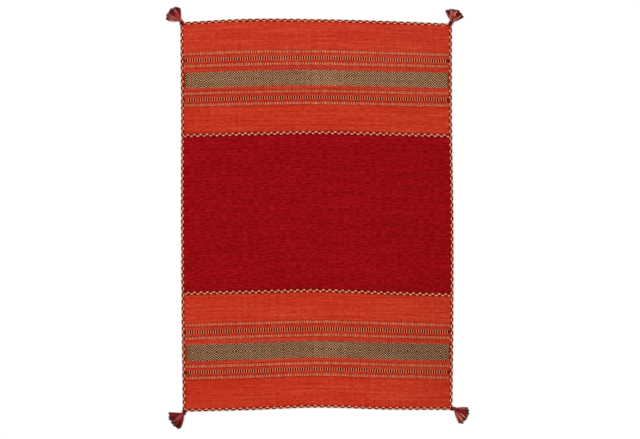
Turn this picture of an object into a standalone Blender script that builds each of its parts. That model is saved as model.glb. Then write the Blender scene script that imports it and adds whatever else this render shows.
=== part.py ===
"""A flat-woven kilim rug, about 160 x 230 cm, lying flat on the floor.

The cloth is one thin sheet. A two-row braid edges its four sides, two more braids lie across its face, and a
tassel is sewn to each corner. X runs across the rug, Y along it and Z up, in metres, with the origin on the
floor under the middle of the cloth. "Top" is the +Y end and "left" the -X side.
"""
import math
import random

import bmesh
import bpy
from mathutils import Vector

MM = 0.001

# Driving dimensions, in metres
RUG_WIDTH = 1.600
RUG_LENGTH = 2.300
FIELD_THICKNESS = 0.005
GAP = 0.0003
EDGE_BRAID_WIDTH = 0.018
EDGE_BRAID_HEIGHT = 0.009
CROSS_BRAID_WIDTH = 0.020
CROSS_BRAID_HEIGHT = 0.005
CROSS_BRAIDS_FROM_MIDDLE = {"top": 0.480, "bottom": 0.456}

# How far each edge lies outside the straight rectangle, in millimetres. The rows run left to right for the
# top and bottom edges, and top to bottom for the two sides.
EDGE_BOW_MM = {
    # edge: (start, quarter, middle, three quarters, end)
    "top": (-10.0, 10.5, 8.5, -2.0, -18.0),
    "bottom": (11.5, 1.5, -13.0, -1.5, 1.0),
    "left": (9.5, 4.5, 5.0, 1.5, -6.0),
    "right": (-3.5, -3.5, 5.0, 5.0, -1.0),
}
OUTLINE_STEPS_ACROSS = 32
OUTLINE_STEPS_ALONG = 46
# How far the braids on the cloth's face lie from a straight line, in millimetres towards the top
CROSS_BRAID_BOW_MM = {"top": (-2.0, -7.5, -2.5, -0.5, 1.0), "bottom": (5.0, 1.0, 0.0, -3.0, -9.5)}
STRAIGHT_MM = (0.0, 0.0, 0.0, 0.0, 0.0)

# A braid is two rows of stitches side by side, each stitch swollen in its middle. Its sections are shares of
# its width, out from the cloth or from its own middle line, and of its height.
STITCHES_MM = {
    # braid: (a stitch, the first stitch of the run)
    "top": (20.2, 21.4),
    "bottom": (20.2, 9.5),
    "left": (19.7, 6.9),
    "right": (20.0, 11.8),
    "cross": (18.9, 14.3),
}
SHORTEST_STITCH = 0.4
EDGE_SECTION = (
    # out in the middle of a stitch, out where two meet, up in the middle of a stitch, up where two meet
    (0.00, 0.00, 0.00, 0.00),
    (1.00, 0.85, 0.00, 0.00),
    (0.79, 0.70, 1.00, 0.60),
    (0.46, 0.46, 0.66, 0.50),
    (0.18, 0.20, 1.00, 0.60),
)
CROSS_SECTION = (
    (-0.50, -0.38, 0.00, 0.00),
    (0.50, 0.38, 0.00, 0.00),
    (0.28, 0.24, 1.00, 0.60),
    (0.00, 0.00, 0.64, 0.50),
    (-0.28, -0.24, 1.00, 0.60),
)
BRAID_SHARP_DEGREES = 30

# Tassels. Tie offsets are from the middle of the braid's end to the thread that ties the neck. Angles are in
# degrees anticlockwise from +X, and the reach of the locks is read from one side of the fan to the other.
TASSELS = (
    # name, braid end it is sewn to, tie offset mm, heading, half spread, reach mm
    ("tassel_top_left", ("left", "top"), (-8.0, 10.5), 135.0, 45.0, (80.0, 90.0, 92.0, 92.0, 87.0)),
    ("tassel_top_right", ("right", "top"), (9.0, 11.0), 70.0, 50.0, (76.0, 78.0, 80.0, 77.0, 84.0)),
    ("tassel_bottom_left", ("left", "bottom"), (-5.5, -12.0), 219.0, 42.0, (93.0, 95.0, 94.0, 96.0, 90.0)),
    ("tassel_bottom_right", ("bottom", "right"), (13.0, -1.0), -37.0, 40.0, (99.0, 103.0, 101.0, 96.0, 86.0)),
)
LOCK_COLUMNS = 12
HEAD_RADIUS = 0.014
HEAD_HEIGHT = 0.011
HEAD_ROUNDING = 0.30
# The tied neck, from the head's back to the braid
NECK_SECTIONS = (
    # way back from the tie (0) to the braid (1), extra forward mm, half width mm, height mm
    (0.0, 5.0, 10.0, 11.0),
    (0.0, 2.0, 7.0, 9.0),
    (0.0, -1.0, 8.0, 10.5),
    (0.3, 0.0, 7.8, 10.0),
    (0.55, 0.0, 6.6, 8.5),
    (1.0, 0.0, 8.5, 8.0),
)
# A lock of yarn at its rings, from the head to its cut end. The fan is widest near the head, then draws in.
LOCK_RINGS = (
    # share of the way out, spread against the tips', width as a share of the fan's room, height mm
    (0.28, 1.26, 0.82, 4.0),
    (0.66, 1.12, 0.76, 4.2),
    (1.00, 1.00, 0.60, 3.0),
)
HEAD_SPREAD = 1.35
LOCK_TOP_NARROWING = 0.60
LOCK_LAYERS = (
    # height of its underside mm, share of the reach, turn as a share of a column
    (0.0, 1.00, 0.0),
    (4.6, 0.92, 0.35),
)
LOCK_BEND_DEGREES = 2.5
LOCK_BEND_WAVES = 3.2
LOCK_JITTER_DEGREES = 0.5
LOCK_JITTER_REACH = 0.09
TASSEL_SHARP_DEGREES = 40

# Colours are linear RGB
MATERIALS = {
    # name: (base colour, roughness)
    "woven_field": ((0.42, 0.030, 0.018), 0.92),
    "edge_braid": ((0.30, 0.19, 0.12), 0.90),
    "cross_braid": ((0.34, 0.22, 0.14), 0.90),
    "tassel": ((0.15, 0.010, 0.016), 0.88),
}


def through_stations(stations, share):
    """Read a smooth curve through evenly spaced stations at a share of the way along them."""
    last = len(stations) - 1
    place = min(max(share, 0.0), 1.0) * last
    index = min(int(place), last - 1)
    part = place - index
    here, there = stations[index], stations[index + 1]
    before = stations[index - 1] if index > 0 else 2 * here - there
    after = stations[index + 2] if index + 2 <= last else 2 * there - here
    lean_in = (there - before) / 2
    lean_out = (after - here) / 2
    return (
        here * (1 + 2 * part) * (1 - part) ** 2
        + lean_in * part * (1 - part) ** 2
        + there * part**2 * (3 - 2 * part)
        + lean_out * part**2 * (part - 1)
    )


def as_it_lies(across, along):
    """Turn a place on the straight rug, measured from its middle, into its place on the bowed rug."""
    from_left = across / RUG_WIDTH + 0.5
    from_top = 0.5 - along / RUG_LENGTH
    left = -RUG_WIDTH / 2 - through_stations(EDGE_BOW_MM["left"], from_top) * MM
    right = RUG_WIDTH / 2 + through_stations(EDGE_BOW_MM["right"], from_top) * MM
    top = RUG_LENGTH / 2 + through_stations(EDGE_BOW_MM["top"], from_left) * MM
    bottom = -RUG_LENGTH / 2 - through_stations(EDGE_BOW_MM["bottom"], from_left) * MM
    x = left + (right - left) * from_left
    y = top + (bottom - top) * from_top
    return Vector((x, y))


def remove_everything():
    for obj in list(bpy.data.objects):
        bpy.data.objects.remove(obj, do_unlink=True)


def make_material(name):
    colour, roughness = MATERIALS[name]
    material = bpy.data.materials.new(name)
    material.use_nodes = True
    shader = material.node_tree.nodes["Principled BSDF"]
    shader.inputs["Base Color"].default_value = (*colour, 1.0)
    shader.inputs["Roughness"].default_value = roughness
    shader.inputs["Metallic"].default_value = 0.0
    return material


def object_from(name, bm, sharp_degrees):
    """Turn a bmesh into a smooth-shaded object that keeps its sharp edges."""
    bmesh.ops.recalc_face_normals(bm, faces=bm.faces)
    mesh = bpy.data.meshes.new(name)
    bm.to_mesh(mesh)
    bm.free()
    mesh.shade_smooth()
    mesh.set_sharp_from_angle(angle=math.radians(sharp_degrees))
    return bpy.data.objects.new(name, mesh)


# The woven cloth


def field_outline():
    """Places round the cloth's edge, just inside the edge braids, anticlockwise from the top left corner."""
    half_width = RUG_WIDTH / 2 - EDGE_BRAID_WIDTH - GAP
    half_length = RUG_LENGTH / 2 - EDGE_BRAID_WIDTH - GAP
    corners = (
        (-half_width, half_length, OUTLINE_STEPS_ALONG),
        (-half_width, -half_length, OUTLINE_STEPS_ACROSS),
        (half_width, -half_length, OUTLINE_STEPS_ALONG),
        (half_width, half_length, OUTLINE_STEPS_ACROSS),
    )
    outline = []
    for number, (across, along, steps) in enumerate(corners):
        next_across, next_along, _ = corners[(number + 1) % len(corners)]
        for step in range(steps):
            share = step / steps
            place = (across + (next_across - across) * share, along + (next_along - along) * share)
            outline.append(as_it_lies(*place))
    return outline


def field():
    """The cloth: its outline as a filled 2D curve, as thick as the weave."""
    outline = field_outline()
    curve = bpy.data.curves.new("field", "CURVE")
    curve.dimensions = "2D"
    curve.fill_mode = "BOTH"
    curve.extrude = FIELD_THICKNESS / 2
    spline = curve.splines.new("POLY")
    spline.points.add(len(outline) - 1)
    for point, place in zip(spline.points, outline):
        point.co = (place.x, place.y, 0.0, 1.0)
    spline.use_cyclic_u = True
    obj = bpy.data.objects.new("field", curve)
    obj.location.z = FIELD_THICKNESS / 2
    return obj


# The braids


def stitch_rings(length, stitch, first):
    """How far along a braid each of its rings is, and whether a stitch is swollen there."""
    ends = [0.0]
    reach = first
    while reach < length - stitch * SHORTEST_STITCH:
        ends.append(reach)
        reach += stitch
    ends.append(length)
    rings = []
    for here, there in zip(ends, ends[1:]):
        rings.append((here, False))
        rings.append(((here + there) / 2, True))
    rings.append((length, False))
    return rings


def section_points(section, width, height, swollen):
    """A braid's section in the middle of a stitch or where two meet, as distances out and up."""
    column = 0 if swollen else 1
    return [(row[column] * width, row[column + 2] * height) for row in section]


def braid(name, run, stitches_mm, bow_mm, section, width, height, lift):
    """Loft a braid along its run on the straight rug, from its start to its end."""
    start, end, outward = (Vector(item) for item in run)
    length = (end - start).length
    stitch, first = (size * MM for size in stitches_mm)
    bm = bmesh.new()
    rings = []
    for reach, swollen in stitch_rings(length, stitch, first):
        share = reach / length
        middle = start + (end - start) * share
        middle.y += through_stations(bow_mm, share) * MM
        ring = []
        for out, up in section_points(section, width, height, swollen):
            place = as_it_lies(*(middle + outward * out))
            ring.append(bm.verts.new((place.x, place.y, lift + up)))
        rings.append(ring)
    corners = len(section)
    for here, there in zip(rings, rings[1:]):
        for corner in range(corners):
            following = (corner + 1) % corners
            bm.faces.new((here[corner], here[following], there[following], there[corner]))
    bm.faces.new(rings[0])
    bm.faces.new(rings[-1])
    return object_from(name, bm, BRAID_SHARP_DEGREES)


def edge_braid_runs():
    """Each edge braid's start, end and outward way on the straight rug.

    Each runs past a corner or stops short of it, so that one of the two braids there has a free end for the
    tassel to be sewn to.
    """
    half_width = RUG_WIDTH / 2
    half_length = RUG_LENGTH / 2
    inner_width = half_width - EDGE_BRAID_WIDTH
    inner_length = half_length - EDGE_BRAID_WIDTH
    short_width = inner_width - GAP
    short_length = inner_length - GAP
    return {
        "top": ((-short_width, inner_length), (short_width, inner_length), (0, 1)),
        "bottom": ((-short_width, -inner_length), (half_width, -inner_length), (0, -1)),
        "left": ((-inner_width, half_length), (-inner_width, -half_length), (-1, 0)),
        "right": ((inner_width, half_length), (inner_width, -short_length), (1, 0)),
    }


def edge_braids():
    size = (EDGE_BRAID_WIDTH, EDGE_BRAID_HEIGHT)
    return [
        braid(f"edge_braid_{edge}", run, STITCHES_MM[edge], STRAIGHT_MM, EDGE_SECTION, *size, 0.0)
        for edge, run in edge_braid_runs().items()
    ]


def cross_braids():
    reach = RUG_WIDTH / 2 - EDGE_BRAID_WIDTH - GAP
    size = (CROSS_BRAID_WIDTH, CROSS_BRAID_HEIGHT)
    lift = FIELD_THICKNESS + GAP
    stitches_mm = STITCHES_MM["cross"]
    made = []
    for side, sign in (("top", 1), ("bottom", -1)):
        name = f"cross_braid_{side}"
        along = sign * CROSS_BRAIDS_FROM_MIDDLE[side]
        run = ((-reach, along), (reach, along), (0, 1))
        bow_mm = CROSS_BRAID_BOW_MM[side]
        made.append(braid(name, run, stitches_mm, bow_mm, CROSS_SECTION, *size, lift))
    return made


# The tassels


def sideways(forward):
    return Vector((-forward.y, forward.x))


def braid_end(edge, corner):
    """The middle of an edge braid's end face on the floor, and the way square out of that face."""
    start, end, outward = edge_braid_runs()[edge]
    place, other = (start, end) if corner in ("top", "left") else (end, start)
    inner = as_it_lies(*place)
    outer = as_it_lies(place[0] + outward[0] * EDGE_BRAID_WIDTH, place[1] + outward[1] * EDGE_BRAID_WIDTH)
    way_out = sideways((outer - inner).normalized())
    if way_out.dot(inner - as_it_lies(*other)) < 0:
        way_out = -way_out
    return (inner + outer) / 2, way_out


def neck_frame(base, way_out, tie, heading, back):
    """Centre and forward way of the neck at a share of the way back from the tie to the braid."""
    bend = base + way_out * (tie - base).length / 2
    centre = tie * (1 - back) ** 2 + bend * 2 * back * (1 - back) + base * back**2
    forward = (heading * (1 - back) + way_out * back).normalized()
    return centre, forward


def rounded(spot):
    """Turn a place on a square from -1 to 1 into one on a rounded square."""
    side, up = spot.x, spot.y
    return side * math.sqrt(1 - HEAD_ROUNDING * up**2), up * math.sqrt(1 - HEAD_ROUNDING * side**2)


def shape_head_front(bm, spots, tie, heading_degrees, half_spread):
    """Wrap the grid that the locks grow from round the front of the head."""
    for vert in bm.verts:
        side, up = rounded(vert[spots])
        angle = math.radians(heading_degrees + side * half_spread * HEAD_SPREAD)
        place = tie + Vector((math.cos(angle), math.sin(angle))) * HEAD_RADIUS
        vert.co = (place.x, place.y, HEAD_HEIGHT * (1 + up) / 2)


def add_neck(bm, spots, base, way_out, tie, heading):
    """Draw the head's rim back through the tie to the braid, and close it."""
    rim = [edge for edge in bm.edges if edge.is_boundary]
    for back, ahead, half_width, height in NECK_SECTIONS:
        grown = bmesh.ops.extrude_edge_only(bm, edges=rim)["geom"]
        rim = [item for item in grown if isinstance(item, bmesh.types.BMEdge) and item.is_boundary]
        centre, forward = neck_frame(base, way_out, tie, heading, back)
        centre = centre + forward * ahead * MM
        across = sideways(forward) * half_width * MM
        for vert in {vert for edge in rim for vert in edge.verts}:
            side, up = rounded(vert[spots])
            place = centre + across * side
            vert.co = (place.x, place.y, height * MM * (1 + up) / 2)
    bmesh.ops.contextual_create(bm, geom=rim)


def face_middle(face, spots):
    return sum((vert[spots] for vert in face.verts), Vector((0, 0, 0))) / len(face.verts)


def grow_lock(bm, spots, face, tie, tassel_turn, side_turn, end_turn, reach, room, underside):
    """Draw one face of the head out into a lock that rests level.

    Its way out is the tassel's heading plus its own turn to the side, and it bends towards its end.
    """
    middle = face_middle(face, spots)
    for share, spread, width_share, height in LOCK_RINGS:
        face = bmesh.ops.extrude_discrete_faces(bm, faces=[face])["faces"][0]
        angle = tassel_turn + side_turn * spread + end_turn * share**2
        forward = Vector((math.cos(angle), math.sin(angle)))
        radius = HEAD_RADIUS + (reach - HEAD_RADIUS) * share
        half_width = radius * room * spread * width_share / 2
        for vert in face.verts:
            is_top = vert[spots].y > middle.y
            to_side = math.copysign(half_width, vert[spots].x - middle.x)
            to_side *= LOCK_TOP_NARROWING if is_top else 1.0
            place = tie + forward * radius + sideways(forward) * to_side
            vert.co = (place.x, place.y, underside + (height * MM if is_top else 0.0))


def tassel(row, rng):
    """One tassel: neck, tied head and the two layers of locks fanned out from it."""
    name, (edge, corner), tie_offset, heading_degrees, half_spread, reaches = row
    end_middle, way_out = braid_end(edge, corner)
    base = end_middle + way_out * GAP
    tie = end_middle + Vector(tie_offset) * MM
    tassel_turn = math.radians(heading_degrees)
    heading = Vector((math.cos(tassel_turn), math.sin(tassel_turn)))
    layers = len(LOCK_LAYERS)

    bm = bmesh.new()
    bmesh.ops.create_grid(bm, x_segments=LOCK_COLUMNS, y_segments=layers, size=1.0)
    spots = bm.verts.layers.float_vector.new("spot")
    for vert in bm.verts:
        vert[spots] = vert.co
    roots = list(bm.faces)
    shape_head_front(bm, spots, tie, heading_degrees, half_spread)
    add_neck(bm, spots, base, way_out, tie, heading)

    room = math.radians(2 * half_spread) / LOCK_COLUMNS
    bend_phase = rng.uniform(0, 2 * math.pi)
    for root in roots:
        middle = face_middle(root, spots)
        underside, reach_share, turn = LOCK_LAYERS[int((middle.y + 1) / 2 * layers)]
        jitter = math.radians(rng.uniform(-LOCK_JITTER_DEGREES, LOCK_JITTER_DEGREES))
        side_turn = math.radians(middle.x * half_spread) + turn * room
        wave = math.sin(bend_phase + LOCK_BEND_WAVES * middle.x + middle.y)
        end_turn = math.radians(LOCK_BEND_DEGREES) * wave + jitter
        reach = through_stations(reaches, (middle.x + 1) / 2) * MM * reach_share
        reach *= 1 - rng.uniform(0, LOCK_JITTER_REACH)
        grow_lock(bm, spots, root, tie, tassel_turn, side_turn, end_turn, reach, room, underside * MM)
    return object_from(name, bm, TASSEL_SHARP_DEGREES)


def tassels():
    rng = random.Random(11)
    return [tassel(row, rng) for row in TASSELS]


def build_rug():
    remove_everything()
    collection = bpy.data.collections.new("kilim_rug")
    bpy.context.scene.collection.children.link(collection)
    pieces = {
        "woven_field": [field()],
        "edge_braid": edge_braids(),
        "cross_braid": cross_braids(),
        "tassel": tassels(),
    }
    for material_name, objects in pieces.items():
        material = make_material(material_name)
        for obj in objects:
            obj.data.materials.append(material)
            collection.objects.link(obj)


build_rug()
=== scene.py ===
"""The looks of a flat-woven kilim rug lying on a pale floor, seen from straight above.

The cloth is a ribbed woven sheet. The braids round it and across it, and the tassels at its corners, are made
of plied yarns. X runs across the rug, Y along it and Z up, in metres.
"""
import math
import random

import bpy
import numpy as np
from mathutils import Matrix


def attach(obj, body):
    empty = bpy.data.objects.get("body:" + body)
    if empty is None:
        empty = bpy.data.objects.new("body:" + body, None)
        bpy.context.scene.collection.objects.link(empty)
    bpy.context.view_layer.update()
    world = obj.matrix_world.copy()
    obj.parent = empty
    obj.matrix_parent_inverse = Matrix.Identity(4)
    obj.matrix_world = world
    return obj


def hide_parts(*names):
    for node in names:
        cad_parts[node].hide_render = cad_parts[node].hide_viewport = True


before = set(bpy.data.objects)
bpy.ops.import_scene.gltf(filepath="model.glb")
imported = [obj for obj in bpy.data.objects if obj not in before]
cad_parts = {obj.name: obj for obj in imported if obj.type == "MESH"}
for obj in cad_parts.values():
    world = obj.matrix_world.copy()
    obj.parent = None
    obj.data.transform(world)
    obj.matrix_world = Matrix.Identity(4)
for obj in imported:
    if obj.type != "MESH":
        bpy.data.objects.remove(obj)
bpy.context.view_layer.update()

MM = 0.001
BODY = "root"

# Driving dimensions of the rug, as in the solids' source
RUG_WIDTH = 1.600
RUG_LENGTH = 2.300
FIELD_THICKNESS = 0.005
GAP = 0.0003
EDGE_BRAID_WIDTH = 0.018
CROSS_BRAIDS_FROM_MIDDLE = {"top": 0.480, "bottom": 0.456}

# How far each edge lies outside the straight rectangle, in millimetres
EDGE_BOW_MM = {
    # edge: (start, quarter, middle, three quarters, end), left to right or top to bottom
    "top": (-10.0, 10.5, 8.5, -2.0, -18.0),
    "bottom": (11.5, 1.5, -13.0, -1.5, 1.0),
    "left": (9.5, 4.5, 5.0, 1.5, -6.0),
    "right": (-3.5, -3.5, 5.0, 5.0, -1.0),
}
# How far the braids across the cloth lie from a straight line, in millimetres towards the top, left to right
CROSS_BRAID_BOW_MM = {"top": (-2.0, -7.5, -2.5, -0.5, 1.0), "bottom": (5.0, 1.0, 0.0, -3.0, -9.5)}
STRAIGHT_MM = (0.0, 0.0, 0.0, 0.0, 0.0)
# How far the weft at some places along the rug lies from a straight line, in the same way
WEFT_BOW_MM = (
    (-RUG_LENGTH / 2, STRAIGHT_MM),
    (-0.930, (0.0, 0.0, -1.0, -0.5, -5.5)),
    (-0.800, (-0.5, 1.0, 0.5, 2.0, -1.0)),
    (-0.660, (-1.5, 0.0, -1.5, 1.0, -5.0)),
    (-CROSS_BRAIDS_FROM_MIDDLE["bottom"], CROSS_BRAID_BOW_MM["bottom"]),
    (CROSS_BRAIDS_FROM_MIDDLE["top"], CROSS_BRAID_BOW_MM["top"]),
    (0.680, (3.0, -3.5, 0.5, 3.5, 10.5)),
    (0.810, (-2.5, -7.0, -2.0, 1.0, 7.0)),
    (0.920, (3.5, -3.0, 1.5, 2.5, 6.5)),
    (RUG_LENGTH / 2, STRAIGHT_MM),
)

# The weave. A diamond of the patterned bands is 24 warps wide, and the weft shows as beads half as high as
# wide.
DIAMOND = 0.05625
WARPS_PER_DIAMOND = 24
WARPS_PER_RING = 6
WARP = DIAMOND / WARPS_PER_DIAMOND
DIAMOND_MIDDLE_WARP = 10
# The first units of the weave in each ring are cream, or red in the dots, and one beside a speckle is dark
CREAM_UNITS = 2
DOT_UNITS = 3
SPECKLE_OUTLINE_UNIT = 3
RIB_DEPTH = 0.0006
FIELD_ROWS = 34
# The cloth swells a little in slow waves: (turns across, turns along) in radians a metre, for each wave
SWELL = 0.0003
SWELL_WAVES = ((5.1, 1.7), (-2.9, 6.3))

# The woven bands, by the places of their middles along the rug
DIAMOND_BANDS = (
    # middle, half height, steps from the first cream ring to the middle, light and dark weft, plain as far as
    (0.8030, 0.0455, 2, (225, 174, 128), (46, 14, 4), -0.770),
    (-0.8030, 0.0493, 1, (214, 161, 119), (32, 10, 3), -0.748),
)
LADDERS = (
    # middle, first cream warp of each bar
    (0.9195, 0),
    (0.6870, 1),
    (-0.6808, 1),
    (-0.9190, 0),
)
LADDER_HALF = 0.0095
# Dark selvedges close the bands and the ladders at both sides
SELVEDGE_MIDDLE = 0.001
SELVEDGE_HALF = 0.771
# The cloth is a shade darker in a strip along each cross braid
BESIDE_CROSS_BRAID_HALF = 0.0165
BESIDE_CROSS_BRAID_DARKENING = 0.80
SPECKLED = (0.9560, 0.8860, 0.7250, 0.6550, -0.6400, -0.7165, -0.8830, -0.9510)
SPECKLED_HALF = 0.0070
DOTS_OUT = 0.0118
DOTS_HALF = 0.0024
BANDS_MIDDLE = 0.800
BANDS_HALF = 0.155
TOP_END_MIDDLE = 1.060
TOP_END_HALF = 0.095
# Painted shade where the light falls off: the cloth darkens from here towards its right edge, in shares a
# metre, and more so towards its bottom end
PAINTED_SHADE_FROM = 0.30
PAINTED_SHADE_ACROSS = 0.098
PAINTED_SHADE_DOWN = 0.196

# Stitches of the braids in millimetres: (a stitch, the first stitch of the run)
STITCHES_MM = {
    "top": (20.2, 21.4),
    "bottom": (20.2, 9.5),
    "left": (19.7, 6.9),
    "right": (20.0, 11.8),
    "cross": (18.9, 14.3),
}
STARTS_CREAM = {"top": True, "bottom": False, "left": False, "right": False, "cross": False}
SHORTEST_STITCH = 0.4
STITCH_LEAN = 0.17
# How much longer and fuller than its own place a light and a dark stitch are
STITCH_OVERLAP = (0.94, 1.20)
STITCH_FULLNESS = (0.88, 1.04)
STITCH_RINGS = 7
# How much a yarn thins towards the ends of its stitch
STITCH_TAPER = 0.55
# How unevenly the stitches and the yarns in them lie, in millimetres either way, and how their wool varies
STITCH_SHIFT_MM = 0.4
STITCH_SHADES = (0.90, 1.08)
STITCH_YARN_SHIFT_MM = 0.3
STITCH_YARN_FULLNESS = (0.96, 1.05)
STITCH_YARN_SHADES = (0.94, 1.06)
# Keeps a yarn's rings apart where the end of the braid cuts it off
LEAST_RUN = 1e-5
YARN_SIDES = 6
# The yarns of a stitch, as millimetres out from the braid's inner edge and up
EDGE_ROWS = (
    # the outer row: out in the middle, up in the middle, out at the ends, up at the ends, radius
    (
        (15.3, 2.5, 12.6, 2.3, 2.1),
        (14.0, 6.3, 11.2, 4.0, 2.2),
        (11.0, 6.6, 8.8, 4.0, 2.2),
        (8.6, 4.6, 7.0, 3.0, 2.0),
    ),
    # the inner row
    (
        (2.0, 2.5, 3.4, 2.3, 2.0),
        (2.6, 6.0, 5.6, 4.0, 2.1),
        (5.8, 6.4, 8.0, 4.0, 2.1),
        (7.6, 4.2, 9.0, 3.0, 1.8),
    ),
)
CROSS_ROWS = (
    # the upper row, out from the braid's own middle line
    (
        (7.4, 1.9, 4.6, 1.6, 1.8),
        (4.9, 3.1, 2.0, 2.0, 1.8),
        (2.0, 2.6, 0.0, 1.7, 1.8),
    ),
    # the lower row
    (
        (-7.4, 1.9, -4.6, 1.6, 1.8),
        (-4.9, 3.1, -2.0, 2.0, 1.8),
        (-2.0, 2.6, 0.0, 1.7, 1.8),
    ),
)
# Dark cords under the stitches: out, up, radius
EDGE_CORES = ((2.55, 2.9, 2.8), (7.5, 2.9, 2.8), (12.2, 2.9, 2.8))
CROSS_CORES = ((-4.5, 1.4, 1.3), (-1.5, 1.4, 1.3), (1.5, 1.4, 1.3), (4.5, 1.4, 1.3))
CORE_SHADE = 0.8
EDGE_ROWS_MEET = 8.5
CROSS_ROWS_MEET = 0.0

# Tassels, as in the solids' source
TASSELS = (
    # name, braid end it is sewn to, tie offset mm, heading, half spread, reach mm
    ("tassel_top_left", ("left", "top"), (-8.0, 10.5), 135.0, 45.0, (80.0, 90.0, 92.0, 92.0, 87.0)),
    ("tassel_top_right", ("right", "top"), (9.0, 11.0), 70.0, 50.0, (76.0, 78.0, 80.0, 77.0, 84.0)),
    ("tassel_bottom_left", ("left", "bottom"), (-5.5, -12.0), 219.0, 42.0, (93.0, 95.0, 94.0, 96.0, 90.0)),
    ("tassel_bottom_right", ("bottom", "right"), (13.0, -1.0), -37.0, 40.0, (99.0, 103.0, 101.0, 96.0, 86.0)),
)
LOCK_COLUMNS = 12
HEAD_SPREAD = 1.35
LOCK_LAYERS = ((0.0, 1.00, 0.0), (4.6, 0.92, 0.35))
LOCK_BEND_DEGREES = 2.5
LOCK_BEND_WAVES = 3.2
LOCK_JITTER_DEGREES = 0.5
LOCK_JITTER_REACH = 0.09
# The locks spring from a flat bundle at the tie
BUNDLE_HALF_WIDTH_MM = 6.8
BUNDLE_MIDDLE_MM = 5.0
BUNDLE_LAYER_STEP_MM = 6.4
# The yarns of a lock leave the bundle over the first share of their way
LOCK_LEAVES_BUNDLE = 0.30
YARNS_PER_LOCK = 7
LOCK_YARN_RINGS = 15
LOCK_YARN_RADIUS = 1.35 * MM
LOCK_YARN_TAPER = 0.25
# Half a lock's width at the tie and how much it grows to its end, its middle's height, and half its height
LOCK_HALF_WIDTH_MM = 0.8
LOCK_WIDENING_MM = 2.9
LOCK_MIDDLE_MM = 2.3
LOCK_HALF_HEIGHT_MM = 0.75
# How far an upper lock sinks onto the floor at its end, as a share of its height
LOCK_SINKING = 0.75
LOCK_TWISTS = 1.1
LOCK_YARN_REACH = (0.93, 1.01)
LOCK_YARN_DEGREES = 1.6
LOCK_YARN_SHADES = (0.5, 1.5)
# Where along a lock its colour changes, over what share, and how much darker its cut end is
LOCK_COLOUR_CHANGES = 0.3
LOCK_COLOUR_CHANGE = 0.4
LOCK_END_SHADE = 0.5
NECK_YARNS = 15
NECK_HALF_WIDTHS_MM = (8.8, 9.0, 9.4, 9.8, 9.8)
NECK_HALF_HEIGHTS_MM = (3.6, 4.0, 4.1, 3.6, 3.2)
NECK_PAST_TIE_MM = 3
NECK_LIFT_MM = 1.3
NECK_TWIST = 1.2
NECK_YARN_RADIUS = 1.5 * MM
NECK_YARN_SHADES = (0.7, 1.3)
# The thread wound round the neck
TIE_TURNS = 4
TIE_START_MM = 1.0
TIE_STEP_MM = 1.9
TIE_HALF_WIDTH_MM = 9.6
TIE_MIDDLE_MM = 4.9
TIE_HALF_HEIGHT_MM = 3.9
TIE_RADIUS = 1.0 * MM
TIE_WOOL = "wine"
TIE_SHADE = 0.8
# How many turns of yarn sew each neck on, over the end of its braid, and how they lie from the end face and
# the middle line of that braid
BINDING_TURNS = {
    "tassel_top_left": 8,
    "tassel_top_right": 5,
    "tassel_bottom_left": 5,
    "tassel_bottom_right": 5,
}
BINDING_START_MM = 1.0
BINDING_STEP_MM = 2.3
BINDING_MIDDLE_MM = 1.6
BINDING_HALF_WIDTH_MM = 11.4
BINDING_FOOT_MM = 1.2
BINDING_HEIGHT_MM = 8.6
BINDING_ROUNDING = 0.3
BINDING_RADIUS = 1.15 * MM
BINDING_WOOL = "dark"
BINDING_SHADES = (0.8, 1.5)
# How many parts of each wool are in a tassel. Which lock or yarn has which wool is drawn.
TASSEL_WOOLS = {
    # name: (lower locks, upper locks, neck)
    "tassel_top_left": (
        {"dark": 2, "wine": 6, "brick": 4},
        {"dark": 4, "wine": 2, "brick": 3, "rose": 3, "tan": 1},
        {"rose": 2, "tan": 2, "brown": 3},
    ),
    "tassel_top_right": (
        {"dark": 6, "wine": 5},
        {"dark": 4, "wine": 1, "brick": 1, "rose": 3, "pale": 2},
        {"dark": 2, "brick": 3, "rose": 2},
    ),
    "tassel_bottom_left": (
        {"dark": 4, "wine": 5, "brick": 2},
        {"dark": 4, "wine": 2, "brick": 1, "rose": 2, "pale": 1, "brown": 1},
        {"dark": 3, "brown": 4},
    ),
    "tassel_bottom_right": (
        {"dark": 4, "wine": 5, "red": 1},
        {"dark": 3, "wine": 2, "brick": 2, "rose": 1, "pale": 1, "orange": 1, "brown": 1},
        {"dark": 3, "brown": 4},
    ),
}
# Colours, as sRGB levels
YARN_COLOURS = {
    "dark": (92, 14, 14),
    "wine": (112, 26, 34),
    "brick": (140, 42, 42),
    "red": (156, 16, 26),
    "rose": (168, 78, 78),
    "pale": (212, 122, 104),
    "tan": (170, 118, 84),
    "orange": (182, 88, 60),
    "brown": (132, 56, 44),
}
ORANGE = (188, 50, 28)
ORANGE_TOP_END = (192, 55, 35)
ORANGE_BETWEEN = (184, 53, 33)
CRIMSON = (142, 1, 12)
BROWN_WEFT = (42, 20, 9)
LADDER_CREAM = (250, 133, 90)
LADDER_BROWN = (30, 3, 1)
SPECKLE_CREAM = (212, 149, 108)
DOT_RED = (124, 22, 13)
BAND_SELVEDGE = (124, 54, 26)
LADDER_SELVEDGE = (98, 20, 4)
PLAIN_BROWN = (110, 78, 50)
BRAID_WOOLS = {
    # braid: the light and the dark wool of its outer or upper row, then of its other row
    "edge": (((226, 160, 132), (94, 20, 2)), ((255, 156, 126), (126, 24, 0))),
    "cross": (((242, 148, 118), (110, 15, 0)), ((242, 152, 124), (110, 15, 0))),
}
FADED_WOOL = (156, 78, 62)
SHEEN_TINT = (255, 170, 140)
FLOOR_LEVELS = (244, 244, 243)

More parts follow.
